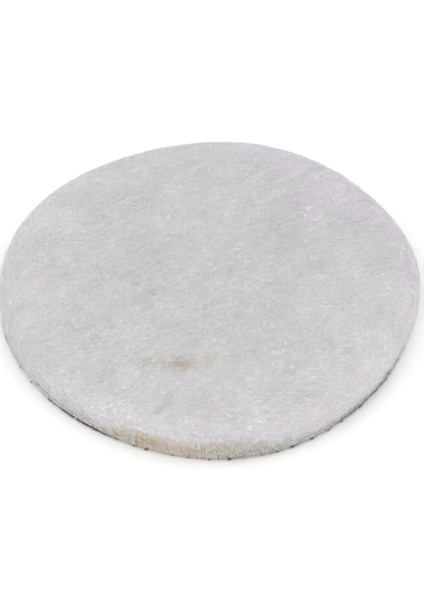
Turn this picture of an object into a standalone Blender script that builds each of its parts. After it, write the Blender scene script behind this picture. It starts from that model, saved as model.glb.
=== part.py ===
"""Lambskin polishing pad with a loop-fabric back and a three-thread overlocked edge.

Metres, +Z up through the wool face. The origin is the centre of the loop face, which
the pad rests on and which a hook-faced backing plate grips. From the bottom up the pad
is loop pile, loop ground cloth, adhesive film, hide and wool pile, and the edge seam
wraps the stack from the hide's top to the cloth's underside.
"""

import math

import bpy

# Driving dimensions
PAD_DIAMETER = 0.180
PAD_THICKNESS = 0.018
STACK_DIAMETER = 0.176
SEAM_WIDTH = 0.0040
STITCH_PITCH = 0.003
THREAD_DIAMETER = 0.0004
GAP = 0.0003

# Layer thicknesses, from the bottom up
LOOP_PILE_THICKNESS = 0.0015
GROUND_CLOTH_THICKNESS = 0.0005
FILM_THICKNESS = 0.0002
HIDE_THICKNESS = 0.0014

# Wool
CROWN_HEIGHT = 0.0006
EDGE_ROUND_WIDTH = 0.0090
EDGE_ROUND_HEIGHT = 0.0085
FLANK_TUCK = 0.0006
WOOL_ARC_STEPS = 8

# Facets
DISC_SEGMENTS = 72
THREAD_SIDE_RESOLUTION = 0
EDGE_SEGMENTS = 2
SMOOTH_ANGLE = math.radians(40)

# Heights of the layers' undersides
CLOTH_Z = LOOP_PILE_THICKNESS + GAP
FILM_Z = CLOTH_Z + GROUND_CLOTH_THICKNESS + GAP
HIDE_Z = FILM_Z + FILM_THICKNESS + GAP
HIDE_TOP_Z = HIDE_Z + HIDE_THICKNESS
WOOL_Z = HIDE_TOP_Z + GAP

# The seam
STACK_RADIUS = STACK_DIAMETER / 2
SEAM_RADIUS = STACK_RADIUS - SEAM_WIDTH
STITCHES = round(2 * math.pi * STACK_RADIUS / STITCH_PITCH)
THREAD_CLEARANCE = GAP + THREAD_DIAMETER / 2
THREAD_SPACING = THREAD_DIAMETER + GAP / 2
LOWER_EDGE_RADIUS = STACK_RADIUS + THREAD_CLEARANCE
UPPER_EDGE_RADIUS = LOWER_EDGE_RADIUS + THREAD_SPACING
UPPER_LEG_Z = HIDE_TOP_Z + THREAD_CLEARANCE
LOWER_LEG_Z = CLOTH_Z - THREAD_CLEARANCE
NEEDLE_Z = UPPER_LEG_Z + THREAD_SPACING
EDGE_MIDDLE_Z = (HIDE_TOP_Z + CLOTH_Z) / 2
LOOPER_OVERLAP = 0.0004

# The step under the wool's rim that the seam lies in
SEAM_STEP_RADIUS = SEAM_RADIUS - THREAD_CLEARANCE
SEAM_STEP_Z = NEEDLE_Z + THREAD_CLEARANCE
LOOP_PILE_RADIUS = SEAM_STEP_RADIUS


def clear_scene():
    for old in list(bpy.data.objects):
        bpy.data.objects.remove(old, do_unlink=True)


def new_collection(name):
    group = bpy.data.collections.new(name)
    bpy.context.scene.collection.children.link(group)
    return group


def new_material(name, colour, roughness):
    material = bpy.data.materials.new(name)
    material.use_nodes = True
    shader = material.node_tree.nodes["Principled BSDF"]
    shader.inputs["Base Color"].default_value = (*colour, 1.0)
    shader.inputs["Roughness"].default_value = roughness
    shader.inputs["Metallic"].default_value = 0.0
    return material


def put_in(group, piece, material):
    """Moves a new object into the pad's collection and gives it its material."""
    for owner in list(piece.users_collection):
        owner.objects.unlink(piece)
    group.objects.link(piece)
    piece.data.materials.append(material)
    return piece


def smooth(piece):
    piece.data.shade_smooth()
    piece.data.set_sharp_from_angle(angle=SMOOTH_ANGLE)


def disc(group, name, radius, bottom_z, thickness, rounding, material):
    """A flat round layer whose rims are rounded a little."""
    bpy.ops.mesh.primitive_cylinder_add(
        vertices=DISC_SEGMENTS,
        radius=radius,
        depth=thickness,
        location=(0, 0, bottom_z + thickness / 2),
    )
    piece = bpy.context.object
    piece.name = name
    put_in(group, piece, material)
    smooth(piece)
    if rounding:
        bevel = piece.modifiers.new("rounded_rim", "BEVEL")
        bevel.width = rounding
        bevel.segments = EDGE_SEGMENTS
        bevel.limit_method = "ANGLE"
        bevel.angle_limit = SMOOTH_ANGLE
    return piece


def wool_profile():
    """The nap's half section, from the top of its axis down the outer side to the hide."""
    outer = PAD_DIAMETER / 2
    shoulder_radius = outer - EDGE_ROUND_WIDTH
    shoulder_z = PAD_THICKNESS - CROWN_HEIGHT
    widest_z = shoulder_z - EDGE_ROUND_HEIGHT
    points = [
        (0.0, PAD_THICKNESS),
        (shoulder_radius / 2, PAD_THICKNESS - CROWN_HEIGHT / 4),
    ]
    for step in range(WOOL_ARC_STEPS + 1):
        angle = math.pi / 2 * (1 - step / WOOL_ARC_STEPS)
        points.append((
            shoulder_radius + EDGE_ROUND_WIDTH * math.cos(angle),
            widest_z + EDGE_ROUND_HEIGHT * math.sin(angle),
        ))
    points += [
        (outer - FLANK_TUCK / 4, (widest_z + SEAM_STEP_Z) / 2),
        (outer - FLANK_TUCK, SEAM_STEP_Z),
        (SEAM_STEP_RADIUS, SEAM_STEP_Z),
        (SEAM_STEP_RADIUS, WOOL_Z),
        (0.0, WOOL_Z),
    ]
    return points


def turned(group, name, profile, material):
    """A solid of revolution about +Z from a half section given as (radius, height)."""
    mesh = bpy.data.meshes.new(name)
    vertices = [(radius, 0.0, height) for radius, height in profile]
    edges = [(i, i + 1) for i in range(len(vertices) - 1)]
    mesh.from_pydata(vertices, edges, [])
    piece = bpy.data.objects.new(name, mesh)
    put_in(group, piece, material)
    screw = piece.modifiers.new("turn", "SCREW")
    screw.axis = "Z"
    screw.angle = 2 * math.pi
    screw.steps = DISC_SEGMENTS
    screw.render_steps = DISC_SEGMENTS
    screw.use_merge_vertices = True
    screw.merge_threshold = 0.00001
    screw.use_smooth_shade = True
    return piece


def ring_point(stitch, phase, radius, height):
    """A point of the seam: phase runs from 0 to 1 over one stitch."""
    angle = 2 * math.pi * (stitch + phase) / STITCHES
    return radius * math.cos(angle), radius * math.sin(angle), height


def thread(group, name, stitch_points, material):
    """A closed ring of thread that repeats one stitch's (phase, radius, height) points."""
    curve = bpy.data.curves.new(name, "CURVE")
    curve.dimensions = "3D"
    curve.bevel_depth = THREAD_DIAMETER / 2
    curve.bevel_resolution = THREAD_SIDE_RESOLUTION
    route = [
        ring_point(stitch, *point)
        for stitch in range(STITCHES)
        for point in stitch_points
    ]
    spline = curve.splines.new("POLY")
    spline.points.add(len(route) - 1)
    for point, place in zip(spline.points, route):
        point.co = (*place, 1.0)
    spline.use_cyclic_u = True
    return put_in(group, bpy.data.objects.new(name, curve), material)


def looper_stitch(leg_z, edge_radius, tip_z):
    """A looper's zigzag: in at the needle line, out over the edge to its tip, and back."""
    return [
        (0.0, SEAM_RADIUS, leg_z),
        (0.38, edge_radius, leg_z),
        (0.5, edge_radius, tip_z),
        (0.62, edge_radius, leg_z),
    ]


def build_backing(group):
    loops = new_material("loop_black", (0.020, 0.020, 0.022), 0.95)
    cloth = new_material("cloth_black", (0.014, 0.014, 0.016), 0.80)
    film = new_material("film_amber", (0.55, 0.47, 0.33), 0.35)
    hide = new_material("hide_cream", (0.66, 0.55, 0.40), 0.75)
    disc(group, "loop_pile", LOOP_PILE_RADIUS, 0.0, LOOP_PILE_THICKNESS, 0.0004, loops)
    disc(group, "loop_ground_cloth", STACK_RADIUS, CLOTH_Z, GROUND_CLOTH_THICKNESS, 0.0001, cloth)
    disc(group, "adhesive_film", STACK_RADIUS - GAP, FILM_Z, FILM_THICKNESS, 0.0, film)
    disc(group, "lambskin_hide", STACK_RADIUS, HIDE_Z, HIDE_THICKNESS, 0.0002, hide)


def build_wool(group):
    wool = new_material("wool_white", (0.78, 0.77, 0.77), 0.95)
    turned(group, "wool_pile", wool_profile(), wool)


def build_seam(group):
    pale = new_material("thread_ecru", (0.72, 0.68, 0.60), 0.60)
    upper = looper_stitch(UPPER_LEG_Z, UPPER_EDGE_RADIUS, EDGE_MIDDLE_Z - LOOPER_OVERLAP)
    lower = looper_stitch(LOWER_LEG_Z, LOWER_EDGE_RADIUS, EDGE_MIDDLE_Z + LOOPER_OVERLAP)
    needle = [(0.0, SEAM_RADIUS, NEEDLE_Z)]
    thread(group, "upper_looper_thread", upper, pale)
    thread(group, "lower_looper_thread", lower, pale)
    thread(group, "needle_thread", needle, pale)


def main():
    clear_scene()
    pad = new_collection("polishing_pad")
    build_backing(pad)
    build_wool(pad)
    build_seam(pad)


main()
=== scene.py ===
"""Looks of the lambskin polishing pad.

The wool is made of real tapered locks that lie on a soft inner fleece, the rim shows the
creamy roots of the wool, and under it are the cut edge of the hide, the black loop cloth
with its small loops, and the three threads of the overlocked seam.
"""

import math

import bpy
import numpy as np
from mathutils import Matrix, Vector


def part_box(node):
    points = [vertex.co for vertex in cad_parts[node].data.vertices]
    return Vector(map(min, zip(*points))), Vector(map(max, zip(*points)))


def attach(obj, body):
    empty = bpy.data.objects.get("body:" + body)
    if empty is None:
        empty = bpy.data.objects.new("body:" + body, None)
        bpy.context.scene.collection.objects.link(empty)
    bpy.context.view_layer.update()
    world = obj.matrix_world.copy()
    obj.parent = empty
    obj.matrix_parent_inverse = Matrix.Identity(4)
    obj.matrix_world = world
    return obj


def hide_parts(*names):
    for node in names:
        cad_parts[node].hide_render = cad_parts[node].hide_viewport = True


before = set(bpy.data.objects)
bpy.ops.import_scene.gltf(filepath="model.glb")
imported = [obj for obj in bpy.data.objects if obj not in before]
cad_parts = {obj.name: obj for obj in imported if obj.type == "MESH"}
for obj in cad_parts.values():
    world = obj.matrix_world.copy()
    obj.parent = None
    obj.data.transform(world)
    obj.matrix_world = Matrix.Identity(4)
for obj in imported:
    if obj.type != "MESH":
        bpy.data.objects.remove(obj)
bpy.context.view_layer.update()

MM = 0.001

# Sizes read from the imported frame, in metres
WOOL_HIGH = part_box("wool_pile")[1]
HIDE_LOW, HIDE_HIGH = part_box("lambskin_hide")
FILM_LOW, FILM_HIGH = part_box("adhesive_film")
CLOTH_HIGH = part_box("loop_ground_cloth")[1]
LOOPS_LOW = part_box("loop_pile")[0]
NEEDLE_LOW, NEEDLE_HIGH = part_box("needle_thread")
LOWER_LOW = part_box("lower_looper_thread")[0]
PAD_RADIUS = WOOL_HIGH.x
PAD_TOP = WOOL_HIGH.z
STACK_RADIUS = HIDE_HIGH.x
THREAD_RADIUS = (NEEDLE_HIGH.z - NEEDLE_LOW.z) / 2
SEAM_RADIUS = NEEDLE_HIGH.x - THREAD_RADIUS

# Shape of the nap's outer surface, from the crown down to the hem that hangs over the seam
CROWN = 0.6 * MM
SHOULDER_WIDTH = 9.0 * MM
SHOULDER_HEIGHT = 8.5 * MM
HEM_LEVEL = 1.2 * MM
HEM_TUCK = 1.3 * MM
TABLE_GAP = 0.15 * MM
SWELL = 0.35 * MM
SWELL_SIZE = 24 * MM

# How far the outline stands out of round: waves as count, height and phase in degrees, and
# dents as centre and half width in degrees and depth
RIM_WAVES = ((3, 0.77 * MM, 121), (4, 0.47 * MM, -1), (5, 0.73 * MM, -8))
RIM_DENTS = ((-140, 26, 1.1 * MM), (-17, 13, 1.3 * MM), (136, 16, 0.4 * MM))
RIM_WAVE_START = 55 * MM

# Locks of the nap: combed one way on top, splayed and then hanging toward the rim
COMB_DEGREES = 30
LOCK_SPACING = 1.15 * MM
LOCK_REACH = 3.8 * MM
LOCK_DEPTH = 0.50 * MM
LOCK_STRANDS = 8
LOCK_TONE = 0.91
STRAND_WIDTH = 0.10 * MM
STRAND_JITTER = 0.03 * MM
SECTORS = 12
SPLAY_START = 60 * MM
SPLAY_END = 96 * MM
SPLAY_SHARE = 0.75
HANG_START = 82 * MM
HANG_END = 95 * MM
RIM_REACH = 0.8

# How far a strand's shading follows the nap around it instead of its own thin sides
SOFTNESS = 0.90

# The fleece under the locks, whose low tone is painted shade under the locks
FLEECE_DEPTH = 0.25 * MM
FLEECE_SHADE_TONE = 0.17
FLEECE_SEGMENTS = 520

# Strands at the rim, over the whole nap and at the cloth's edge: how many, and how wide
ROOT_COUNT, ROOT_WIDTH = 24000, 0.30 * MM
FUZZ_COUNT, FUZZ_WIDTH = 14000, 0.22 * MM
HAIR_COUNT, HAIR_WIDTH = 3600, 0.20 * MM
STRAY_COUNT, STRAY_WIDTH = 11000, 0.075 * MM
FRAY_COUNT, FRAY_WIDTH = 9000, 0.20 * MM
LINT_COUNT, LINT_WIDTH = 1300, 0.24 * MM
LINT_DEGREES = (-42, -42, -42, -42, -80, -125, 60, 150)

# The height where the roots' cream starts to fade to white, and over how much
ROOTS_LEVEL = 9.4 * MM
ROOTS_FADE = 2.4 * MM

# Where the wool's roots show along the rim: centre and half width in degrees, how far up
# the flank they show, and how cream they are
ROOTS_SHOW = (
    (-103, 15, 1.0, 1.0),
    (-87, 12, 0.80, 0.50),
    (-72, 8, 0.35, 0.20),
    (-40, 14, 0.12, 0.0),
    (-122, 7, 0.28, 0.25),
    (24, 12, 0.45, 0.50),
    (78, 16, 0.70, 0.90),
    (133, 14, 0.40, 0.40),
    (172, 10, 0.55, 0.60),
)

# Where the black cloth's edge shows under the wool: centre and half width in degrees, share
EDGE_SHOWS = (
    (-127, 9, 0.85),
    (40, 10, 0.7),
    (110, 12, 0.8),
    (-170, 8, 0.7),
)

# The stain and the partings in the nap: x, y, length and width in millimetres, direction in
# degrees, strength
STAIN = (
    (-12.0, -54.3, 9.0, 5.2, 8, 0.58),
    (-23, -53, 12.0, 5.0, 12, 0.26),
    (0, -54, 9.0, 6.0, 20, 0.22),
    (-20, -78, 9.0, 2.4, 48, 0.30),
)
# The partings and the stain's spots are sunk into the nap, and their strands are darkened as painted
# shade
PARTINGS = (
    (-25, -14, 6.0, 3.0, 35, 0.50),
    (46, 2, 8.0, 3.6, 30, 0.44),
    (-61, -52, 6.0, 2.5, 50, 0.20),
    (-7, -76, 8.0, 1.8, 25, 0.20),
    (4, -19, 6.0, 2.4, 30, 0.40),
    (-4, -42, 5.0, 2.5, 30, 0.26),
    (38, 47, 6.0, 2.4, 25, 0.20),
    (-44, 36, 6.0, 2.4, 35, 0.18),
    (18, 60, 15.0, 1.3, 49, 0.26),
    (-38, 46, 9.0, 1.2, 40, 0.20),
    (-52, 12, 12.0, 1.2, 33, 0.18),
)

# The seam and the loops
STITCH_PITCH = 3 * MM
STITCHES = round(2 * math.pi * STACK_RADIUS / STITCH_PITCH)
LOOP_COUNT = 6400
LOOP_RADIUS = 0.055 * MM
LAYER_GAP = 0.02 * MM

# Camera and light: each softbox is a name, a place, a size and a power
CAMERA_ELEVATION = 44.7
CAMERA_DISTANCE = 0.81
CAMERA_LENS = 113.4
CAMERA_ROLL = -0.8
VIEW_ACROSS = 1.2 * MM
VIEW_DOWN = 6.5 * MM
SKY_STRENGTH = 1.0
SOFTBOXES = (
    ("key", (-0.95, -0.55, 0.80), 1.4, 3.9),
    ("fill", (0.95, -0.30, 0.70), 1.4, 2.6),
)
FLOOR_SIZE = 40.0


# ---------------------------------------------------------------- numbers and noise


def smoothstep(x):
    x = np.clip(x, 0.0, 1.0)
    return x * x * (3 - 2 * x)


def noise2(x, y, cell, seed):
    """Smooth noise from -1 to 1 over the plane, with features about one cell wide."""
    grid = 512
    table = np.random.default_rng(seed).uniform(-1, 1, (grid, grid))
    u, v = x / cell + grid / 2, y / cell + grid / 2
    i, j = np.floor(u).astype(int), np.floor(v).astype(int)
    a, b = smoothstep(u - i), smoothstep(v - j)
    i0, i1, j0, j1 = i % grid, (i + 1) % grid, j % grid, (j + 1) % grid
    low = table[i0, j0] * (1 - a) + table[i1, j0] * a
    high = table[i0, j1] * (1 - a) + table[i1, j1] * a
    return low * (1 - b) + high * b


def rim_wave(theta):
    """How far the pad's outline stands out of round at an angle, in metres."""
    wave = sum(a * np.cos(n * theta - math.radians(p)) for n, a, p in RIM_WAVES)
    for centre, half_width, depth in RIM_DENTS:
        away = (np.degrees(theta) - centre + 180) % 360 - 180
        wave = wave - depth * np.exp(-((away / half_width) ** 2))
    return wave


def out_of_round(radius, theta):
    """A radius with the outline's slow waves added, from RIM_WAVE_START outward."""
    grow = smoothstep((radius - RIM_WAVE_START) / (STACK_RADIUS - RIM_WAVE_START))
    return radius + rim_wave(theta) * grow


def along_rim(theta, spans):
    """The largest share, at an angle round the rim, of spans given as centre, half, share."""
    total = np.zeros_like(theta)
    for centre, half_width, share in spans:
        away = np.abs((np.degrees(theta) - centre + 180) % 360 - 180)
        total = np.maximum(total, share * smoothstep(1.5 - away / half_width))
    return total


def roots_bare(theta):
    """How far up the flank the wool's roots show at an angle, from 0 to 1."""
    return along_rim(theta, [(centre, half, bare) for centre, half, bare, _ in ROOTS_SHOW])


def roots_cream(theta):
    """How cream the wool's roots are at an angle, from 0 to 1."""
    return along_rim(theta, [(centre, half, cream) for centre, half, _, cream in ROOTS_SHOW])


def edge_shows(theta):
    """How much of the black cloth's edge shows under the wool at an angle, from 0 to 1."""
    return along_rim(theta, EDGE_SHOWS)


# ---------------------------------------------------------------- the nap's surface


def nap_profile():
    """The nap's outer section as arc length, radius, height and normal, centre to hem."""
    shoulder = PAD_RADIUS - SHOULDER_WIDTH
    shoulder_z = PAD_TOP - CROWN
    widest_z = shoulder_z - SHOULDER_HEIGHT
    r_top = np.linspace(0, shoulder, 120)[:-1]
    z_top = PAD_TOP - CROWN * (r_top / shoulder) ** 2
    turn = np.linspace(math.pi / 2, 0, 60)
    r_arc = shoulder + SHOULDER_WIDTH * np.cos(turn)
    z_arc = widest_z + SHOULDER_HEIGHT * np.sin(turn)
    z_flank = np.linspace(widest_z, HEM_LEVEL, 30)[1:]
    drop = (widest_z - z_flank) / (widest_z - HEM_LEVEL)
    r_flank = PAD_RADIUS - HEM_TUCK * drop**3
    r = np.concatenate([r_top, r_arc, r_flank])
    z = np.concatenate([z_top, z_arc, z_flank])
    step = np.hypot(np.diff(r), np.diff(z))
    s = np.concatenate([[0], np.cumsum(step)])
    dr, dz = np.gradient(r, s), np.gradient(z, s)
    return s, r, z, -dz, dr


PROFILE = nap_profile()
HEM = float(PROFILE[0][-1])
WIDEST = float(PROFILE[0][np.argmax(PROFILE[1])])


def on_nap(x, y, height):
    """Points in space for places on the nap's unrolled surface, lifted along its normal."""
    s, r, z, nr, nz = PROFILE
    rho, theta = np.hypot(x, y), np.arctan2(y, x)
    radius, level = np.interp(rho, s, r), np.interp(rho, s, z)
    out, up = np.interp(rho, s, nr), np.interp(rho, s, nz)
    below = np.maximum(rho - HEM, 0)
    level = level - below
    flat = 1 - smoothstep((rho - 0.82 * PAD_RADIUS) / (0.2 * PAD_RADIUS))
    level = level + SWELL * noise2(x, y, SWELL_SIZE, 5) * flat
    radius = out_of_round(radius, theta) + out * height
    level = np.maximum(level + up * height, TABLE_GAP)
    return np.stack([radius * np.cos(theta), radius * np.sin(theta), level], axis=-1)


def on_rim(r, theta, height):
    """Points on the nap's unrolled surface for places given as arc length and angle."""
    return on_nap(r * np.cos(theta), r * np.sin(theta), height)


def nap_lift(x, y):
    """The way out of the nap at each place."""
    count = x.size
    return on_nap(x, y, np.full(count, 1 * MM)) - on_nap(x, y, np.zeros(count))


def rim_lift(theta, up=0.5):
    """The way out of the rim at each angle, turned a little upward."""
    return np.stack([np.cos(theta), np.sin(theta), np.full(theta.size, up)], -1)


def spots(x, y, table):
    """The share, from 0 to 1, of soft oval spots at a place."""
    total = np.zeros_like(x)
    for px, py, length, width, degrees, strength in table:
        c, s = math.cos(math.radians(degrees)), math.sin(math.radians(degrees))
        dx, dy = x / MM - px, y / MM - py
        along, across = (dx * c + dy * s) / length, (-dx * s + dy * c) / width
        total += strength * np.exp(-2 * (along**2 + across**2))
    return np.clip(total, 0, 1)


def stain(x, y):
    """How much the nap is stained at a place, from 0 to 1."""
    return spots(x, y, STAIN)


def parting(x, y):
    """How far the nap is parted at a place, from 0 to 1."""
    return spots(x, y, STAIN + PARTINGS)


# ---------------------------------------------------------------- meshes from arrays


def mesh_object(name, points, faces, material, attributes=None, normals=None):
    """A mesh object from an array of points and a list of (n, 3) and (n, 4) face arrays."""
    mesh = bpy.data.meshes.new(name)
    mesh.vertices.add(len(points))
    mesh.vertices.foreach_set("co", np.asarray(points, np.float32).ravel())
    corners = np.concatenate([f.ravel() for f in faces]).astype(np.int32)
    sizes = np.concatenate([np.full(len(f), f.shape[1]) for f in faces])
    mesh.loops.add(len(corners))
    mesh.loops.foreach_set("vertex_index", corners)
    mesh.polygons.add(len(sizes))
    starts = np.concatenate([[0], np.cumsum(sizes)[:-1]]).astype(np.int32)
    mesh.polygons.foreach_set("loop_start", starts)
    mesh.polygons.foreach_set("use_smooth", np.full(len(sizes), True))
    for key, values in (attributes or {}).items():
        layer = mesh.attributes.new(key, "FLOAT", "POINT")
        layer.data.foreach_set("value", np.asarray(values, np.float32).ravel())
    mesh.update(calc_edges=True)
    mesh.validate()
    if normals is not None:
        mesh.normals_split_custom_set_from_vertices(normals.astype(np.float32))
    mesh.materials.append(material)
    piece = bpy.data.objects.new(name, mesh)
    bpy.context.scene.collection.objects.link(piece)
    return piece


def strand_piece(name, material, paths, widths, lift, values=None, along=None):
    """A piece of many strands.

    values holds each strand's own numbers for the mesh attributes. along, where it is
    given, changes the grease from point to point.
    """
    points, faces, place, normals = strand_arrays(paths, widths, lift)
    per = len(points) // len(paths)
    spread = {key: np.repeat(value, per) for key, value in (values or {}).items()}
    if along is not None:
        spread["grease"] = along(spread["grease"], points, place)
    piece = mesh_object(name, points, faces, material, spread, normals)
    finish_piece(piece)
    return piece


def tapered(width, spread, shape, rng, count):
    """Widths along each strand: one of its own near the width, times the common shape."""
    own = rng.uniform(1 - spread[0], 1 + spread[1], (count, 1))
    return width * own * np.array(shape)[None]


def strand_arrays(paths, widths, lift):
    """Closed three-sided tapered strands: rings along each path and a point at its tip.

    paths is (strands, points, 3), widths (strands, points) and lift (strands, 3) the way
    that a strand's flat side faces. Gives the points, the quads and triangles, each point's
    place along its strand from 0 to 1, and soft normals that mostly follow the lift.
    """
    count, steps = paths.shape[:2]
    tangent = np.gradient(paths, axis=1)
    tangent /= np.linalg.norm(tangent, axis=2, keepdims=True) + 1e-12
    side = np.cross(tangent, lift[:, None, :])
    side /= np.linalg.norm(side, axis=2, keepdims=True) + 1e-12
    up = np.cross(side, tangent)
    rings = steps - 1
    half = widths[:, :rings, None] / 2
    centre, side, up = paths[:, :rings], side[:, :rings], up[:, :rings]
    outward = [up * 0.55, side - up * 0.30, -side - up * 0.30]
    body = np.stack([centre + way * half for way in outward], axis=2).reshape(count, rings * 3, 3)
    points = np.concatenate([body, paths[:, -1:]], axis=1).reshape(-1, 3)
    lift = lift / (np.linalg.norm(lift, axis=1, keepdims=True) + 1e-12)
    facing = np.stack(outward, axis=2).reshape(count, rings * 3, 3)
    facing = np.concatenate([facing, lift[:, None]], axis=1) * (1 - SOFTNESS)
    normals = (facing + lift[:, None] * SOFTNESS).reshape(-1, 3)
    normals /= np.linalg.norm(normals, axis=1, keepdims=True) + 1e-12
    per = rings * 3 + 1
    quads = []
    for k in range(rings - 1):
        for a, b in ((0, 1), (1, 2), (2, 0)):
            quads.append([3 * k + a, 3 * k + b, 3 * k + 3 + b, 3 * k + 3 + a])
    last = 3 * (rings - 1)
    triangles = [[last + a, last + b, per - 1] for a, b in ((0, 1), (1, 2), (2, 0))]
    triangles.append([0, 2, 1])
    first = np.arange(count)[:, None, None] * per
    quads = (np.array(quads)[None] + first).reshape(-1, 4)
    triangles = (np.array(triangles)[None] + first).reshape(-1, 3)
    place = np.append(np.repeat(np.arange(rings) / (steps - 1), 3), 1.0)
    return points, [quads, triangles], np.tile(place, count), normals


def turned_faces(rings, segments):
    """Faces of a closed body of rings, whose last two points are its top and bottom centres."""
    i = np.arange(rings - 1)[:, None] * segments
    j = np.arange(segments)
    k = (j + 1) % segments
    quads = np.stack([i + j, i + segments + j, i + segments + k, i + k], -1).reshape(-1, 4)
    top, base = rings * segments, (rings - 1) * segments
    cap_top = np.stack([np.full(segments, top), j, k], -1)
    cap_bottom = np.stack([np.full(segments, top + 1), base + k, base + j], -1)
    return [quads, cap_top, cap_bottom]


def lathe_object(name, section, segments, wobble, material):
    """A closed turned solid. The section runs from the axis to the axis, outer side down."""
    section = np.array(section)
    rings = section[1:-1]
    theta = np.linspace(0, 2 * math.pi, segments, endpoint=False)
    r = np.repeat(rings[:, :1], segments, axis=1)
    z = np.repeat(rings[:, 1:], segments, axis=1)
    t = np.repeat(theta[None], len(rings), axis=0)
    r, z = wobble(r, z, t)
    body = np.stack([r * np.cos(t), r * np.sin(t), z], axis=-1).reshape(-1, 3)
    points = np.concatenate([body, [[0, 0, section[0][1]], [0, 0, section[-1][1]]]])
    return mesh_object(name, points, turned_faces(len(rings), segments), material)


# ---------------------------------------------------------------- materials


class Nodes:
    """Short names for building one material's node tree."""

    def __init__(self, name, roughness):
        self.material = bpy.data.materials.new(name)
        self.material.use_nodes = True
        self.tree = self.material.node_tree
        self.shader = self.tree.nodes["Principled BSDF"]
        self.shader.inputs["Roughness"].default_value = roughness

    def node(self, kind, **settings):
        made = self.tree.nodes.new(kind)
        for key, value in settings.items():
            setattr(made, key, value)
        return made

    def link(self, output, target):
        self.tree.links.new(output, target)

    def attribute(self, name):
        return self.node("ShaderNodeAttribute", attribute_name=name).outputs["Fac"]

    def place(self):
        return self.node("ShaderNodeTexCoord").outputs["Object"]

    def noise(self, scale, detail, rough=0.5):
        made = self.node("ShaderNodeTexNoise")
        made.inputs["Scale"].default_value = scale
        made.inputs["Detail"].default_value = detail
        made.inputs["Roughness"].default_value = rough
        self.link(self.place(), made.inputs["Vector"])
        return made.outputs["Fac"]

    def ramp(self, value, stops):
        made = self.node("ShaderNodeValToRGB")
        while len(made.color_ramp.elements) < len(stops):
            made.color_ramp.elements.new(0.5)
        for element, (at, colour) in zip(made.color_ramp.elements, stops):
            element.position = at
            element.color = (*colour, 1.0)
        self.link(value, made.inputs["Fac"])
        return made.outputs["Color"]

    def maths(self, operation, *values):
        made = self.node("ShaderNodeMath", operation=operation)
        for socket, value in zip(made.inputs, values):
            if isinstance(value, (int, float)):
                socket.default_value = value
            else:
                self.link(value, socket)
        return made.outputs[0]

    def multiply(self, a, b):
        made = self.node("ShaderNodeMix", data_type="RGBA", blend_type="MULTIPLY")
        made.inputs["Factor"].default_value = 1.0
        self.link(a, made.inputs[6])
        self.link(b, made.inputs[7])
        return made.outputs[2]

    def bump(self, height, strength, distance):
        made = self.node("ShaderNodeBump")
        made.inputs["Strength"].default_value = strength
        made.inputs["Distance"].default_value = distance
        self.link(height, made.inputs["Height"])
        self.link(made.outputs["Normal"], self.shader.inputs["Normal"])


# Wool colours from clean white to greasy tan
WOOL_STOPS = (
    (0.0, (0.942, 0.943, 0.968)),
    (0.30, (0.887, 0.853, 0.780)),
    (0.62, (0.835, 0.735, 0.560)),
    (1.0, (0.700, 0.570, 0.370)),
)
HUE_STOPS = (
    (0.35, (0.970, 0.988, 0.964)),
    (0.5, (0.985, 0.982, 0.985)),
    (0.65, (1.0, 0.972, 1.0)),
)
# Value of the tone attribute, which carries the strands' own tone and painted shade
TONE_STOPS = ((0.0, (0.70, 0.70, 0.70)), (1.0, (1, 1, 1)))
FLECK_STOPS = ((0.3, (0.985, 0.985, 0.985)), (0.7, (1, 1, 1)))

# Painted sheen: the wool is lightened, with a faint lilac tint, by distance from the axis as a share
# of the radius; and tinted toward the lilac side
RIM_SHEEN_STOPS = (
    (0.50, (0.910, 0.913, 0.910)),
    (0.85, (0.948, 0.946, 0.948)),
    (0.97, (0.995, 0.983, 0.995)),
    (1.0, (1.0, 0.985, 1.0)),
)
LILAC_STOPS = ((0.76, (1, 1, 1)), (0.95, (0.985, 0.957, 1.0)))
LILAC_WAY = (0.72, 0.69, 0)


def wool_material(name, fleck_scale):
    """White wool: grease turns it cream to tan, the tone attribute darkens it with the strands' own
    tone and painted shade, painted sheen lightens it toward the rim, and hue drifts faintly.
    """
    n = Nodes(name, 0.92)
    grease = n.ramp(n.attribute("grease"), WOOL_STOPS)
    hue = n.ramp(n.noise(80, 3.0, rough=0.65), HUE_STOPS)
    length = n.node("ShaderNodeVectorMath", operation="LENGTH")
    n.link(n.place(), length.inputs[0])
    # painted sheen: the wool lightens toward the rim, by distance from the axis
    rim = n.ramp(n.maths("DIVIDE", length.outputs["Value"], PAD_RADIUS), RIM_SHEEN_STOPS)
    along = n.node("ShaderNodeVectorMath", operation="DOT_PRODUCT")
    along.inputs[1].default_value = Vector(LILAC_WAY) / PAD_RADIUS
    n.link(n.place(), along.inputs[0])
    turned = n.maths("MULTIPLY_ADD", along.outputs["Value"], 0.5, 0.5)
    lilac = n.ramp(turned, LILAC_STOPS)
    value = n.ramp(n.attribute("tone_and_shade"), TONE_STOPS)
    fleck = n.ramp(n.noise(fleck_scale, 3.0), FLECK_STOPS)
    colour = grease
    for layer in (hue, value, fleck, rim, lilac):
        colour = n.multiply(colour, layer)
    n.link(colour, n.shader.inputs["Base Color"])
    n.shader.inputs["Sheen Weight"].default_value = 0.2
    n.shader.inputs["Sheen Roughness"].default_value = 0.6
    n.shader.inputs["Specular IOR Level"].default_value = 0.1
    return n.material


def hide_material():
    n = Nodes("tanned_hide", 0.80)
    stops = ((0.25, (0.50, 0.39, 0.25)), (0.55, (0.66, 0.55, 0.39)), (0.8, (0.74, 0.65, 0.50)))
    n.link(n.ramp(n.noise(420, 4.0, rough=0.65), stops), n.shader.inputs["Base Color"])
    n.bump(n.noise(2600, 3.0), 0.5, 0.0002)
    return n.material


def film_material():
    n = Nodes("hot_melt_film", 0.38)
    stops = ((0.3, (0.50, 0.42, 0.27)), (0.7, (0.60, 0.52, 0.36)))
    n.link(n.ramp(n.noise(300, 2.0), stops), n.shader.inputs["Base Color"])
    n.bump(n.noise(900, 2.0), 0.3, 0.0001)
    return n.material


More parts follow.
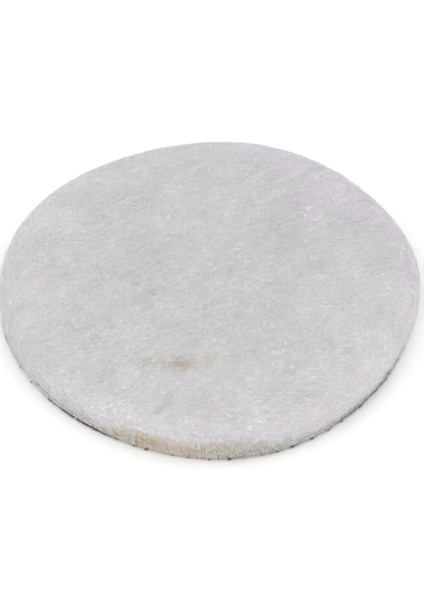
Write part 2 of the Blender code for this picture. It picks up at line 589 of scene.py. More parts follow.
def cloth_material():
    """Black brushed knit: fine wales across the cloth and a soft mottled nap."""
    n = Nodes("black_loop_cloth", 0.93)
    wales = n.node("ShaderNodeTexWave", wave_type="BANDS", bands_direction="X")
    wales.inputs["Scale"].default_value = 380
    wales.inputs["Distortion"].default_value = 3.0
    wales.inputs["Detail"].default_value = 2.0
    n.link(n.place(), wales.inputs["Vector"])
    mottle = n.noise(700, 4.0, rough=0.7)
    value = n.maths("ADD", n.maths("MULTIPLY", wales.outputs["Fac"], 0.35), mottle)
    dark, fair, light = (0.006, 0.006, 0.007), (0.016, 0.016, 0.018), (0.040, 0.040, 0.043)
    stops = ((0.35, dark), (0.65, fair), (0.95, light))
    n.link(n.ramp(value, stops), n.shader.inputs["Base Color"])
    n.shader.inputs["Sheen Weight"].default_value = 0.15
    n.bump(value, 0.8, 0.0004)
    return n.material


def loop_material():
    n = Nodes("black_loops", 0.55)
    stops = ((0.3, (0.010, 0.010, 0.011)), (0.7, (0.035, 0.035, 0.038)))
    n.link(n.ramp(n.noise(900, 2.0), stops), n.shader.inputs["Base Color"])
    return n.material


def thread_material():
    n = Nodes("ecru_thread", 0.62)
    stops = ((0.3, (0.50, 0.45, 0.37)), (0.7, (0.66, 0.61, 0.53)))
    n.link(n.ramp(n.noise(1400, 3.0), stops), n.shader.inputs["Base Color"])
    n.bump(n.noise(6000, 2.0), 0.4, 0.00008)
    return n.material


# ---------------------------------------------------------------- wool


def hex_sites(spacing, reach, jitter, rng):
    """Jittered points of a hexagonal grid inside a circle."""
    rows = int(reach / (spacing * 0.866)) + 1
    cols = int(reach / spacing) + 1
    j, i = np.meshgrid(np.arange(-rows, rows + 1), np.arange(-cols, cols + 1), indexing="ij")
    x = (i + 0.5 * (j % 2)) * spacing
    y = j * spacing * 0.866
    x = x.ravel() + rng.normal(0, jitter * spacing, x.size)
    y = y.ravel() + rng.normal(0, jitter * spacing, y.size)
    keep = np.hypot(x, y) < reach
    return x[keep], y[keep]


def nap_lean(x, y, rng):
    """The way and how far each lock leans: combed on top, hanging outward at the rim."""
    base = math.radians(COMB_DEGREES)
    rho, theta = np.hypot(x, y), np.arctan2(y, x)
    splay = smoothstep((rho - SPLAY_START) / (SPLAY_END - SPLAY_START))
    away = (theta - base + math.pi) % (2 * math.pi) - math.pi
    hang = smoothstep((rho - HANG_START) / (HANG_END - HANG_START))
    hang = hang * (1 - smoothstep((np.abs(away) - 1.3) / 0.8))
    away = away * (1 - smoothstep(np.abs(away) / (math.pi / 2) - 1))
    angle = base + 0.35 * noise2(x, y, 17 * MM, 11) + 0.30 * noise2(x, y, 5 * MM, 12)
    ruffle = 0.33 + 0.15 * smoothstep((rho - WIDEST + 2 * MM) / (5 * MM))
    angle = angle + rng.normal(0, 1, x.size) * ruffle + SPLAY_SHARE * splay * away
    lx = np.cos(angle) * (1 - hang) + hang * x / (rho + 1e-9)
    ly = np.sin(angle) * (1 - hang) + hang * y / (rho + 1e-9)
    size = (1 - (1 - RIM_REACH) * splay) / np.maximum(np.hypot(lx, ly), 0.1)
    return size * lx, size * ly


def nap_end(theta):
    """How far down the flank the white nap reaches at an angle round the rim."""
    covered = HEM - 0.9 * MM
    bare = WIDEST - 2.6 * MM
    return covered + (bare - covered) * smoothstep(roots_bare(theta) * 1.2)


def streaks(x, y):
    """Long soft ridges and grooves along the combing, from -1 to 1."""
    c, s = math.cos(math.radians(COMB_DEGREES)), math.sin(math.radians(COMB_DEGREES))
    along, across = x * c + y * s, -x * s + y * c
    across = across + 2.5 * MM * noise2(x, y, 16 * MM, 25)
    fine = noise2(0.14 * along, across, 1.0 * MM, 26)
    broad = noise2(0.18 * along, across, 2.8 * MM, 27)
    return 0.5 * fine + 0.5 * broad


def tone_and_shade(x, y):
    """Soft patches of lighter and darker nap, from a few millimetres to a few centimetres, plus
    painted light on the combing's ridges and painted shade in its grooves and in the dimples.
    """
    patches = ((3 * MM, 0.03, 21), (7 * MM, 0.07, 23), (15 * MM, 0.12, 24))
    tone = sum(size * noise2(x, y, cell, seed) for cell, size, seed in patches)
    # painted light on the combing's ridges, painted shade in its grooves and in the dimples
    return tone + 0.075 * streaks(x, y) - 0.26 * pits(x, y)


def pits(x, y):
    """Small dimples scattered over the nap, from 0 to 1, which the nap's tone darkens as painted
    shade.
    """
    few = smoothstep((noise2(x, y, 11 * MM, 28) + 0.2) / 0.8)
    return few * smoothstep((noise2(x, y, 1.7 * MM, 29) - 0.35) / 0.4)


def brink(x, y):
    """How near a place is to the lower end of the white nap, from 0 to 1."""
    rho, theta = np.hypot(x, y), np.arctan2(y, x)
    return smoothstep((rho - nap_end(theta) + 3.5 * MM) / (4.5 * MM))


def nap_relief(x, y):
    """Height of the nap's soft relief over its smooth surface, in metres."""
    ridges = 0.17 * MM * noise2(x, y, 5 * MM, 22) + 0.16 * MM * streaks(x, y)
    return ridges - 0.20 * MM * pits(x, y) - 0.25 * MM * brink(x, y) - 1.2 * MM * parting(x, y)


def nap_strands(rng):
    """Paths, widths and tones of the locks over the top and the shoulder; the tones include painted
    light and shade.
    """
    x, y = hex_sites(LOCK_SPACING, HEM, 0.28, rng)
    rho, theta = np.hypot(x, y), np.arctan2(y, x)
    keep = rho < nap_end(theta) + rng.normal(0, 1.1 * MM, x.size)
    x, y = x[keep], y[keep]
    lx, ly = nap_lean(x, y, rng)
    reach = LOCK_REACH * rng.uniform(0.7, 1.25, x.size)
    tone = LOCK_TONE + tone_and_shade(x, y) + rng.normal(0, 0.008, x.size)
    crest = rng.normal(0, STRAND_JITTER, x.size) + nap_relief(x, y)
    repeat = [np.repeat(v, LOCK_STRANDS) for v in (x, y, lx, ly, reach, tone, crest)]
    x, y, lx, ly, reach, tone, crest = repeat
    count = x.size
    turn = rng.normal(0, 0.25, count)
    lx, ly = lx * np.cos(turn) - ly * np.sin(turn), lx * np.sin(turn) + ly * np.cos(turn)
    reach = reach * rng.uniform(0.8, 1.15, count)
    ring = 0.62 * LOCK_SPACING * np.sqrt(rng.uniform(0, 1, count))
    way = rng.uniform(0, 2 * math.pi, count)
    ox, oy = ring * np.cos(way), ring * np.sin(way)

    u = np.array([0.0, 0.55, 1.0])[None]
    sway = rng.normal(0, 0.15 * MM, (count, 1)) * np.sin(math.pi * u)
    close = 1 - 0.55 * u
    px = x[:, None] + ox[:, None] * close + (lx * reach)[:, None] * (u - 0.4) - ly[:, None] * sway
    py = y[:, None] + oy[:, None] * close + (ly * reach)[:, None] * (u - 0.4) + lx[:, None] * sway
    crest = crest + rng.normal(0, STRAND_JITTER, count)
    rise = np.sin(np.minimum(u * 1.25, 1.0) * math.pi / 2)
    height = -LOCK_DEPTH + (crest[:, None] + LOCK_DEPTH) * rise
    paths = on_nap(px, py, height)
    widths = tapered(STRAND_WIDTH, (0.3, 0.3), (0.85, 1.0, 0.0), rng, count)
    mottle = (1 + noise2(x, y, 9 * MM, 31)) / 2
    grease = 0.06 * mottle + 0.60 * stain(x, y) + rng.normal(0, 0.012, count)
    grease = np.clip(grease, 0, 1)
    # Painted shade: strands are darker in the parted hollows, stain included, and at random near the
    # nap's lower end
    tone = tone - 0.85 * parting(x, y) - 0.45 * brink(x, y) * rng.uniform(0, 1, count) ** 2
    return paths, widths, nap_lift(x, y), grease, tone, np.arctan2(y, x)


def make_nap(material, rng):
    """The locks over the top and the shoulder, as one piece for each sector of the pad."""
    paths, widths, lift, grease, tone, theta = nap_strands(rng)
    sector = np.floor((theta + math.pi) / (2 * math.pi) * SECTORS).astype(int) % SECTORS
    for k in range(SECTORS):
        pick = sector == k
        values = {"grease": grease[pick], "tone_and_shade": tone[pick]}
        strand_piece(
            f"wool_nap_{k + 1}", material, paths[pick], widths[pick], lift[pick], values,
            along=lambda grease, points, place: grease + 0.10 * (1 - place) ** 2,
        )


def make_fleece(material):
    """The dense inner wool under the locks, as one closed body that hangs round the stack."""
    rho = np.concatenate([np.linspace(0.6 * MM, 78 * MM, 84), np.linspace(79 * MM, HEM, 26)])
    theta = np.linspace(0, 2 * math.pi, FLEECE_SEGMENTS, endpoint=False)
    rr, tt = np.meshgrid(rho, theta, indexing="ij")
    x, y = rr * np.cos(tt), rr * np.sin(tt)
    lumps = 0.08 * MM * noise2(x, y, 1.6 * MM, 41)
    body = on_nap(x, y, nap_relief(x, y) - FLEECE_DEPTH + lumps)
    inside = out_of_round(STACK_RADIUS + 0.15 * MM, theta)
    ring = np.stack([inside * np.cos(theta), inside * np.sin(theta), 0 * theta], -1)
    floor = HIDE_HIGH.z + 0.1 * MM
    walls = [ring + (0, 0, HEM_LEVEL + 0.15 * MM), ring + (0, 0, floor)]
    body = np.concatenate([body, walls])
    points = np.concatenate([body.reshape(-1, 3), [body[0].mean(0), [0, 0, floor]]])
    bare = smoothstep((rr - nap_end(tt) + 1.0 * MM) / (2.5 * MM))
    under = 0.06 + bare * (0.08 + 0.30 * roots_cream(tt)) + 0.6 * stain(x, y)
    # Painted shade: the fleece's tone is kept far below the locks', as the shade under them
    tone = FLEECE_SHADE_TONE + tone_and_shade(x, y) - 0.20 * bare
    grease = np.concatenate([under.ravel(), under[-1], under[-1], [0.06, 0.06]])
    tone = np.concatenate([tone.ravel(), tone[-1], tone[-1], [0.9, 0.9]])
    values = {"grease": grease, "tone_and_shade": tone}
    faces = turned_faces(len(body), FLEECE_SEGMENTS)
    piece = mesh_object("wool_fleece", points, faces, material, values)
    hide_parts("wool_pile")
    finish_piece(piece)


def root_tone(count, rng):
    """Light and dark single fibres, mostly light."""
    return 1.05 - 0.75 * rng.uniform(0, 1, count) ** 2


def root_dirt(around, rho, cream):
    """How cream the roots are at a place on the flank, in soft patches."""
    patch = noise2(around, rho * 0.5, 3.5 * MM, 52) + 0.5 * noise2(around, rho, 1.4 * MM, 54)
    return 0.12 + 0.46 * cream + 0.24 * patch * cream


def white_above(grease, points, place):
    """The roots' grease, fading upward to the white of the nap."""
    low = 1 - smoothstep((points[:, 2] - ROOTS_LEVEL) / ROOTS_FADE)
    return grease * (0.08 + 0.92 * low)


def make_rim_roots(material, rng):
    """Wool round the rim that fans up and down from the hide's edge, cream at the root."""
    theta = rng.uniform(-math.pi, math.pi, ROOT_COUNT)
    keep = rng.uniform(0, 1, ROOT_COUNT) < 0.5 + 0.5 * smoothstep(roots_bare(theta) * 3)
    theta = theta[keep]
    cream = roots_cream(theta)
    plain = np.clip(roots_bare(theta) - cream, 0, 1)
    count = theta.size
    around = theta * PAD_RADIUS
    top = nap_end(theta) - 1.4 * MM
    rho = HEM + 0.2 * MM - rng.uniform(0, 1, count) * (HEM - top)
    length = rng.uniform(1.6, 3.6, count) * MM
    floor_gap = (0.9 - 0.9 * edge_shows(theta)) * MM
    rho = np.minimum(rho, HEM + floor_gap)
    length = np.minimum(length, (HEM + floor_gap - rho) / 0.35 + 0.5 * MM)
    lean = 0.3 * noise2(around, rho, 2.5 * MM, 51) + rng.normal(0, 0.16, count)
    u = np.array([0.0, 0.5, 1.0])[None]
    r = rho[:, None] - length[:, None] * (u - 0.35) * np.cos(lean)[:, None]
    wave = rng.normal(0, 0.12 * MM, (count, 1)) * np.sin(math.pi * 1.6 * u)
    t = theta[:, None] + (length[:, None] * u * np.sin(lean)[:, None] + wave) / PAD_RADIUS
    clump = noise2(around, 0.12 * rho, 0.9 * MM, 57)
    lump = 0.15 * MM * noise2(around, rho, 2.0 * MM, 53) + 0.20 * MM * clump
    puff = rng.uniform(-0.35, 0.15, count) * MM + lump
    start = np.minimum(puff, 0) - 0.6 * MM
    height = start[:, None] + (puff - start)[:, None] * np.sin(u * math.pi / 2)
    widths = tapered(ROOT_WIDTH, (0.4, 0.4), (0.9, 1.0, 0.0), rng, count)
    dirt = root_dirt(around, rho, cream) - 0.12 * clump + rng.normal(0, 0.08, count)
    dirt = dirt + 0.8 * plain * (rng.uniform(0, 1, count) < 0.15)
    dull = plain * (rng.uniform(0, 1, count) < 0.35)
    tone = root_tone(count, rng) + 0.3 * clump - 2 * dull
    values = {"grease": np.clip(dirt, 0, 1), "tone_and_shade": tone}
    strand_piece(
        "wool_rim_roots", material, on_rim(r, t, height), widths, rim_lift(theta), values,
        along=white_above,
    )


def make_hem_fuzz(material, rng):
    """Short wool that droops unevenly over the cloth's edge, down to the table in places."""
    count = FUZZ_COUNT
    theta = rng.uniform(-math.pi, math.pi, count)
    around = theta * PAD_RADIUS
    cover = noise2(around, 0 * around, 4 * MM, 55) + 0.8 * noise2(around, 0 * around, 1.2 * MM, 56)
    rho = HEM - rng.uniform(0.0, 2.6, count) * MM
    droop = 0.75 - 0.75 * edge_shows(theta) + 0.30 * cover + rng.normal(0, 0.2, count)
    reach = HEM + np.clip(droop, -0.3, 0.95) * MM
    length = np.minimum(reach - rho, rng.uniform(1.0, 2.6, count) * MM)
    lean = rng.normal(0, 0.45, count)
    u = np.array([0.0, 0.5, 1.0])[None]
    r = rho[:, None] + (length * np.cos(lean))[:, None] * u
    t = theta[:, None] + (length * np.sin(lean))[:, None] * u / PAD_RADIUS
    puff = rng.uniform(-0.1, 0.4, count)[:, None] * MM
    height = -0.4 * MM + (puff + 0.4 * MM) * np.sin(u * math.pi * 0.62)
    widths = tapered(FUZZ_WIDTH, (0.4, 0.4), (1.0, 0.9, 0.0), rng, count)
    dirt = root_dirt(around, rho, roots_cream(theta)) + rng.normal(0.04, 0.12, count)
    values = {"grease": np.clip(dirt, 0, 1), "tone_and_shade": root_tone(count, rng)}
    strand_piece(
        "wool_hem_fuzz", material, on_rim(r, t, height), widths, rim_lift(theta), values
    )


def make_hem_hairs(material, rng):
    """Pale single tufts that stand up over the rim from the hem."""
    count = HAIR_COUNT
    theta = rng.uniform(-math.pi, math.pi, count)
    rho = HEM + rng.uniform(-2.2, 0.3, count) * MM
    bare = roots_bare(theta)
    high = rng.uniform(0, 1, count) < bare
    rho = np.where(high, rho - rng.uniform(0, 3.5, count) * MM * bare, rho)
    length = rng.uniform(1.6, 3.8, count) * MM
    lean = rng.normal(0, 0.22, count)
    u = np.array([0.0, 0.36, 0.7, 1.0])[None]
    bend = rng.normal(0, 0.25 * MM, (count, 1)) * np.sin(math.pi * u)
    r = rho[:, None] - (length * np.cos(lean))[:, None] * u
    t = theta[:, None] + ((length * np.sin(lean))[:, None] * u + bend) / PAD_RADIUS
    puff = rng.uniform(0.15, 0.55, count)[:, None] * MM
    height = -0.2 * MM + (puff + 0.2 * MM) * np.sin(u * math.pi * 0.6)
    widths = tapered(HAIR_WIDTH, (0.3, 0.4), (0.8, 1.0, 0.7, 0.0), rng, count)
    dirt = 0.16 + 0.20 * roots_cream(theta) + rng.normal(0, 0.06, count)
    values = {"grease": np.clip(dirt, 0, 1), "tone_and_shade": np.full(count, 0.8)}
    strand_piece(
        "wool_hem_hairs", material, on_rim(r, t, height), widths, rim_lift(theta), values
    )


def make_stray_fibres(material, rng):
    """Single fine fibres that stand a little out of the nap and soften its outline."""
    count = STRAY_COUNT
    rho = HEM * np.sqrt(rng.uniform(0, 1, count))
    rho[: count // 3] = rng.uniform(76 * MM, HEM - 1 * MM, count // 3)
    theta = rng.uniform(-math.pi, math.pi, count)
    x, y = rho * np.cos(theta), rho * np.sin(theta)
    dx, dy = nap_lean(x, y, rng)
    turn = rng.normal(0, 0.9, count)
    dx, dy = dx * np.cos(turn) - dy * np.sin(turn), dx * np.sin(turn) + dy * np.cos(turn)
    length = rng.uniform(1.5, 3.5, count) * MM
    u = np.array([0.0, 0.5, 1.0])[None]
    bend = rng.normal(0, 0.5 * MM, (count, 1)) * np.sin(math.pi * u)
    px = x[:, None] + dx[:, None] * length[:, None] * u - dy[:, None] * bend
    py = y[:, None] + dy[:, None] * length[:, None] * u + dx[:, None] * bend
    proud = 0.10 + 0.8 * smoothstep((rho - 78 * MM) / (8 * MM))
    top = (rng.uniform(0, 1, count) * proud)[:, None] * MM
    height = -0.4 * MM + (top + 0.4 * MM) * np.sin(u * math.pi * 0.62)
    widths = tapered(STRAY_WIDTH, (0.3, 0.3), (1.0, 0.8, 0.0), rng, count)
    # Painted shade: the fibres are toned well below the locks, as thin dark lines of shade in the
    # nap
    values = {"grease": np.zeros(count), "tone_and_shade": rng.uniform(0.0, 0.4, count)}
    paths = on_nap(px, py, height)
    strand_piece("wool_stray_fibres", material, paths, widths, nap_lift(x, y), values)


# ---------------------------------------------------------------- hide, film and cloth


def make_hide(material):
    """The tanned skin, with a soft cut edge that wavers a little."""
    edge = STACK_RADIUS
    low, high = FILM_HIGH.z + LAYER_GAP, HIDE_HIGH.z + 0.15 * MM
    section = [
        (0, high), (edge * 0.5, high), (edge - 4 * MM, high), (edge - 1 * MM, high - 0.05 * MM),
        (edge - 0.3 * MM, high - 0.2 * MM), (edge, high - 0.55 * MM),
        (edge + 0.05 * MM, (low + high) / 2), (edge - 0.02 * MM, low + 0.4 * MM),
        (edge - 0.2 * MM, low + 0.1 * MM), (edge - 0.8 * MM, low), (edge * 0.5, low), (0, low),
    ]

    def wobble(r, z, t):
        arc = t * edge
        near = smoothstep((r - edge + 2 * MM) / (2 * MM))
        shift = 0.14 * MM * noise2(arc, z * 3, 0.8 * MM, 61) + 0.12 * MM * noise2(arc, z, 5 * MM, 62)
        return out_of_round(r, t) + shift * near, z

    piece = lathe_object("hide_disc", section, 900, wobble, material)
    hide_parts("lambskin_hide")
    finish_piece(piece)


def make_film(material):
    """The hot-melt film between the skin and the cloth."""
    edge = STACK_RADIUS - 0.25 * MM
    low, high = FILM_LOW.z, FILM_HIGH.z
    section = [
        (0, high), (edge * 0.5, high), (edge - 0.1 * MM, high), (edge, (low + high) / 2),
        (edge - 0.1 * MM, low), (edge * 0.5, low), (0, low),
    ]
    piece = lathe_object(
        "film_disc", section, 360, lambda r, z, t: (out_of_round(r, t), z), material
    )
    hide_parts("adhesive_film")
    finish_piece(piece)


def cloth_underside(r):
    """Height of the loop cloth's ground face: full loft inside, pressed flat by the seam."""
    loft, pressed = LOOPS_LOW.z + 0.55 * MM, LOWER_LOW.z + 2 * THREAD_RADIUS + 0.02 * MM
    return loft + (pressed - loft) * smoothstep((r - SEAM_RADIUS + 2.2 * MM) / (2.4 * MM))


def make_cloth(material):
    """The black ground cloth, soft underneath and pressed thin where the seam holds it."""
    edge = STACK_RADIUS + 0.1 * MM
    high = FILM_LOW.z - LAYER_GAP
    inner = np.linspace(edge - 0.9 * MM, 0.5 * MM, 130)
    section = [
        (0, high), (edge * 0.5, high), (edge - 0.6 * MM, high),
        (edge - 0.15 * MM, high - 0.12 * MM), (edge, high - 0.4 * MM),
        (edge - 0.08 * MM, high - 0.7 * MM), (edge - 0.4 * MM, high - 0.95 * MM),
    ]
    section += [(r, float(cloth_underside(r))) for r in inner]
    section += [(0, float(cloth_underside(0.0)))]

    def wobble(r, z, t):
        x, y = r * np.cos(t), r * np.sin(t)
        fuzz = noise2(x, y, 0.7 * MM, 71) * 0.13 * MM + noise2(x, y, 2.2 * MM, 72) * 0.08 * MM
        under = z < high - 0.5 * MM
        rim = smoothstep((r - edge + 1 * MM) / (1 * MM))
        fray = 0.10 * MM * noise2(t * edge, z * 2, 0.6 * MM, 73)
        return out_of_round(r, t) + rim * fray, z + np.where(under, fuzz, 0)

    piece = lathe_object("loop_cloth", section, 640, wobble, material)
    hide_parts("loop_ground_cloth")
    finish_piece(piece)


def tube_arrays(paths, radius, sides, closed, squeeze=0.0, twist=0.0):
    """Tubes along (n, points, 3) paths: closed rings, or open ones with flat end caps."""
    count, steps = paths.shape[:2]
    if closed:
        tangent = np.roll(paths, -1, 1) - np.roll(paths, 1, 1)
    else:
        tangent = np.gradient(paths, axis=1)
    tangent /= np.linalg.norm(tangent, axis=2, keepdims=True) + 1e-12
    away = paths / (np.linalg.norm(paths, axis=2, keepdims=True) + 1e-9)
    guide = np.array([0.0, 0.0, 1.0]) + 0.35 * away
    side = np.cross(tangent, guide)
    side /= np.linalg.norm(side, axis=2, keepdims=True) + 1e-12
    up = np.cross(side, tangent)
    step = np.arange(steps)[None, :, None]
    angle = np.arange(sides)[None, None] * 2 * math.pi / sides
    reach = radius * (1 + squeeze * np.cos(2 * (angle - twist * step)))
    across = side[:, :, None] * (np.cos(angle) * reach)[..., None]
    upward = up[:, :, None] * (np.sin(angle) * reach)[..., None]
    points = (paths[:, :, None] + (across + upward)).reshape(-1, 3)
    spans = steps if closed else steps - 1
    k = np.arange(spans)[:, None] * sides
    k_next = (np.arange(spans)[:, None] + 1) % steps * sides
    a = np.arange(sides)[None]
    b = (a + 1) % sides
    quads = np.stack([k + a, k + b, k_next + b, k_next + a], -1).reshape(-1, 4)
    first = np.arange(count)[:, None, None] * steps * sides
    faces = [(quads[None] + first).reshape(-1, 4)]
    if not closed:
        corners = [np.zeros(sides - 2), np.arange(1, sides - 1), np.arange(2, sides)]
        fan = np.stack(corners, -1).astype(int)
        start, end = fan[:, ::-1], fan + (steps - 1) * sides
        faces.append((np.concatenate([start, end])[None] + first).reshape(-1, 3))
    return points, faces


def make_loops(material, rng):
    """The brushed loops of the backing: small open arches that hang from the ground cloth."""
    reach = SEAM_RADIUS - 0.3 * MM
    r = reach * np.sqrt(rng.uniform(0, 1, LOOP_COUNT))
    t = rng.uniform(0, 2 * math.pi, LOOP_COUNT)
    way = rng.uniform(0, math.pi, LOOP_COUNT)
    span = rng.uniform(0.7, 1.7, LOOP_COUNT) * MM
    u = np.linspace(0, 1, 7)[None]
    along = (u - 0.5) * span[:, None] * (1 + 0.5 * np.sin(math.pi * u))
    aside = rng.normal(0, 0.25 * MM, (LOOP_COUNT, 1)) * np.sin(math.pi * u)
    x = r[:, None] * np.cos(t)[:, None] + along * np.cos(way)[:, None] - aside * np.sin(way)[:, None]
    y = r[:, None] * np.sin(t)[:, None] + along * np.sin(way)[:, None] + aside * np.cos(way)[:, None]
    ground = cloth_underside(np.hypot(x, y)) + 0.1 * MM
    deep = ground - (LOOPS_LOW.z + 0.06 * MM)
    z = ground - deep * np.sin(math.pi * u) * rng.uniform(0.75, 1.0, (LOOP_COUNT, 1))
    paths = np.stack([x, y, z], -1)
    inner = r < reach * 0.7
    made = []
    for name, pick in (("loops_inner", inner), ("loops_outer", ~inner)):
        points, faces = tube_arrays(paths[pick], LOOP_RADIUS, 3, closed=False)
        piece = mesh_object(name, points, faces, material)
        if name == "loops_inner":
            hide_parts("loop_pile")
        finish_piece(piece)
        made.append(piece)
    return made


def make_frayed_edge(material, rng):
    """Cut filaments of the black cloth that stand out round its edge, over the seam."""
    theta = rng.uniform(-math.pi, math.pi, FRAY_COUNT)
    around = theta * STACK_RADIUS
    dot = smoothstep((noise2(around, 0 * around, 1.6 * MM, 75) - 0.45) / 0.25)
    dash = smoothstep((noise2(around, 0 * around, 3.5 * MM, 76) + 0.45) / 0.5)
    share = 0.015 + 0.85 * dot + 0.9 * edge_shows(theta) * dash
    keep = rng.uniform(0, 1, FRAY_COUNT) < share
    theta, count = theta[keep], int(keep.sum())
    length = rng.uniform(0.5, 1.5, count)[:, None] * MM
    lean = rng.uniform(-1.2, 1.2, count)[:, None]
    level = rng.uniform(0.15, 1.0, count)[:, None] * MM
    out = rng.uniform(0.7, 1.9, count)[:, None] * MM
    u = np.array([0.0, 0.5, 1.0])[None]
    t = theta[:, None] + length * np.sin(lean) * (u - 0.3) / STACK_RADIUS
    r = out_of_round(STACK_RADIUS - 0.2 * MM + out * np.sin(u * math.pi * 0.7), t)
    z = np.maximum(level + length * np.cos(lean) * (u - 0.5) * 0.6, 0.12 * MM)
    paths = np.stack([r * np.cos(t), r * np.sin(t), z], -1)
    widths = tapered(FRAY_WIDTH, (0.3, 0.3), (1.0, 0.9, 0.0), rng, count)
    return strand_piece("cloth_frayed_edge", material, paths, widths, rim_lift(theta, 0.0))


def make_lint(material, rng):
    """Black specks of cut cloth filament caught in the wool of the rim."""
    count = LINT_COUNT
    spread = rng.choice(LINT_DEGREES, count)
    theta = np.radians(spread + rng.normal(0, 10, count))
    rho = HEM - np.abs(rng.normal(0, 2.0, count)) * MM
    way = rng.uniform(-math.pi, math.pi, count)
    length = rng.uniform(0.3, 0.8, count) * MM
    u = np.array([0.0, 0.5, 1.0])[None]
    r = rho[:, None] + (length * np.cos(way))[:, None] * u
    t = theta[:, None] + (length * np.sin(way))[:, None] * u / PAD_RADIUS
    height = rng.uniform(0.2, 0.5, count)[:, None] * MM + 0 * u
    widths = tapered(LINT_WIDTH, (0.4, 0.4), (1.0, 0.9, 0.0), rng, count)
    paths = on_rim(r, t, height)
    return strand_piece("cloth_lint", material, paths, widths, rim_lift(theta))


# ---------------------------------------------------------------- the seam


def smooth_ring(knots, fine):
    """A smooth closed curve through the knots (Catmull-Rom)."""
    a, b, c, d = (np.roll(knots, k, axis=0)[:, None] for k in (1, 0, -1, -2))
    t = (np.arange(fine) / fine)[None, :, None]
    square, cube = 2 * a - 5 * b + 4 * c - d, 3 * b - a - 3 * c + d
    curve = 0.5 * (2 * b + (c - a) * t + square * t**2 + cube * t**3)
    return curve.reshape(-1, 3)


def stitch_ring(points, rng, slack):
    """One stitch's (phase, radius, height) points repeated round the pad, a bit unevenly."""
    points = np.array(points)
    stitch = np.arange(STITCHES)[:, None]
    shift = rng.normal(0, 0.05, (STITCHES, 1))
    angle = 2 * math.pi * (stitch + points[None, :, 0] + shift) / STITCHES
    r = out_of_round(points[None, :, 1], angle) + rng.normal(0, slack, (STITCHES, len(points)))
    z = points[None, :, 2] + rng.normal(0, slack * 0.5, (STITCHES, len(points)))
    return np.stack([r * np.cos(angle), r * np.sin(angle), z], -1).reshape(-1, 3)


def make_thread(name, node, stitch, slack, fine, material, rng):
    path = smooth_ring(stitch_ring(stitch, rng, slack), fine)[None]
    points, faces = tube_arrays(path, THREAD_RADIUS, 6, closed=True, squeeze=0.16, twist=0.55)
    piece = mesh_object(name, points, faces, material)
    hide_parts(node)
    finish_piece(piece)


def make_seam(material, rng):
    """The overlock's three threads; each stitch is a list of (phase, radius, height) points."""
    edge = STACK_RADIUS + THREAD_RADIUS + 0.12 * MM
    between = (SEAM_RADIUS + edge) / 2
    over = HIDE_HIGH.z + 0.15 * MM + THREAD_RADIUS
    under = LOWER_LOW.z + THREAD_RADIUS
    middle = (CLOTH_HIGH.z + HIDE_LOW.z) / 2 + 0.3 * MM
    upper = [
        (0.0, SEAM_RADIUS, over), (0.22, between, over + 0.1 * MM),
        (0.38, edge - 0.25 * MM, over - 0.1 * MM), (0.42, edge, middle + 0.6 * MM),
        (0.5, edge + 0.12 * MM, middle - 0.25 * MM), (0.58, edge, middle + 0.6 * MM),
        (0.62, edge - 0.25 * MM, over - 0.1 * MM), (0.78, between, over + 0.1 * MM),
    ]
    lower = [
        (0.0, SEAM_RADIUS, under), (0.22, between, under - 0.05 * MM),
        (0.37, edge - 0.45 * MM, under + 0.02 * MM), (0.40, edge - 0.02 * MM, under + 0.55 * MM),
        (0.5, edge + 0.05 * MM, middle + 0.15 * MM), (0.60, edge - 0.02 * MM, under + 0.55 * MM),
        (0.63, edge - 0.45 * MM, under + 0.02 * MM), (0.78, between, under - 0.05 * MM),
    ]
    needle = [
        (0.06, SEAM_RADIUS, over - 0.1 * MM), (0.3, SEAM_RADIUS, over + 0.45 * MM),
        (0.7, SEAM_RADIUS, over + 0.45 * MM), (0.94, SEAM_RADIUS, over - 0.1 * MM),
        (0.96, SEAM_RADIUS, middle), (0.94, SEAM_RADIUS + 0.1 * MM, under + 0.1 * MM),
        (1.00, SEAM_RADIUS + 0.35 * MM, under - 0.12 * MM),
        (1.06, SEAM_RADIUS + 0.1 * MM, under + 0.1 * MM), (1.04, SEAM_RADIUS, middle),
    ]
    slack = 0.05 * MM
    make_thread("seam_upper_looper", "upper_looper_thread", upper, slack, 5, material, rng)
    make_thread("seam_lower_looper", "lower_looper_thread", lower, slack, 5, material, rng)
    make_thread("seam_needle_thread", "needle_thread", needle, 0.4 * slack, 4, material, rng)


# ---------------------------------------------------------------- scene


def finish_piece(piece):
    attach(piece, "root")


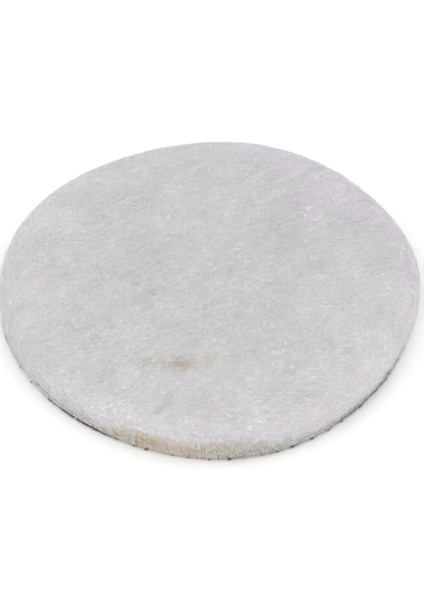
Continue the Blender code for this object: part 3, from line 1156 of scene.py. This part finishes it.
def make_floor():
    bpy.ops.mesh.primitive_plane_add(size=FLOOR_SIZE, location=(0, 0, 0))
    floor = bpy.context.object
    floor.name = "floor"
    n = Nodes("floor_white", 0.9)
    n.shader.inputs["Base Color"].default_value = (0.97, 0.97, 0.97, 1)
    n.shader.inputs["Specular IOR Level"].default_value = 0.0
    floor.data.materials.append(n.material)


def make_light():
    world = bpy.data.worlds.new("studio")
    bpy.context.scene.world = world
    world.use_nodes = True
    background = world.node_tree.nodes["Background"]
    background.inputs["Color"].default_value = (1.0, 1.0, 1.0, 1)
    background.inputs["Strength"].default_value = SKY_STRENGTH
    for name, place, size, power in SOFTBOXES:
        lamp = bpy.data.lights.new(name, "AREA")
        lamp.energy = power
        lamp.size = size
        box = bpy.data.objects.new(name, lamp)
        bpy.context.scene.collection.objects.link(box)
        box.location = place
        box.rotation_euler = (-box.location).to_track_quat("-Z", "Y").to_euler()


def make_camera():
    data = bpy.data.cameras.new("camera")
    data.lens = CAMERA_LENS
    data.clip_start = 0.01
    camera = bpy.data.objects.new("camera", data)
    bpy.context.scene.collection.objects.link(camera)
    tilt = math.radians(CAMERA_ELEVATION)
    middle = Vector((0, 0, PAD_TOP / 2))
    back = Vector((0, -math.cos(tilt), math.sin(tilt)))
    up = Vector((0, math.sin(tilt), math.cos(tilt)))
    camera.location = middle + back * CAMERA_DISTANCE
    aim = middle + Vector((VIEW_ACROSS, 0, 0)) - up * VIEW_DOWN
    look = (aim - camera.location).to_track_quat("-Z", "Y").to_matrix()
    roll = Matrix.Rotation(math.radians(CAMERA_ROLL), 3, "Z")
    camera.rotation_euler = (look @ roll).to_euler()
    bpy.context.scene.camera = camera
    bpy.context.scene.view_settings.view_transform = "Standard"


def main():
    make_camera()
    make_floor()
    make_light()
    rng = np.random.default_rng(7)
    wool = wool_material("wool_locks", 500)
    under_wool = wool_material("wool_under", 700)
    make_fleece(under_wool)
    make_nap(wool, rng)
    make_rim_roots(wool, rng)
    make_hem_fuzz(wool, rng)
    make_hem_hairs(wool, rng)
    make_stray_fibres(wool, rng)
    filaments = loop_material()
    loops = make_loops(filaments, rng)
    fray = make_frayed_edge(filaments, rng)
    lint = make_lint(filaments, rng)
    make_film(film_material())
    make_hide(hide_material())
    make_cloth(cloth_material())
    make_seam(thread_material(), rng)


main()
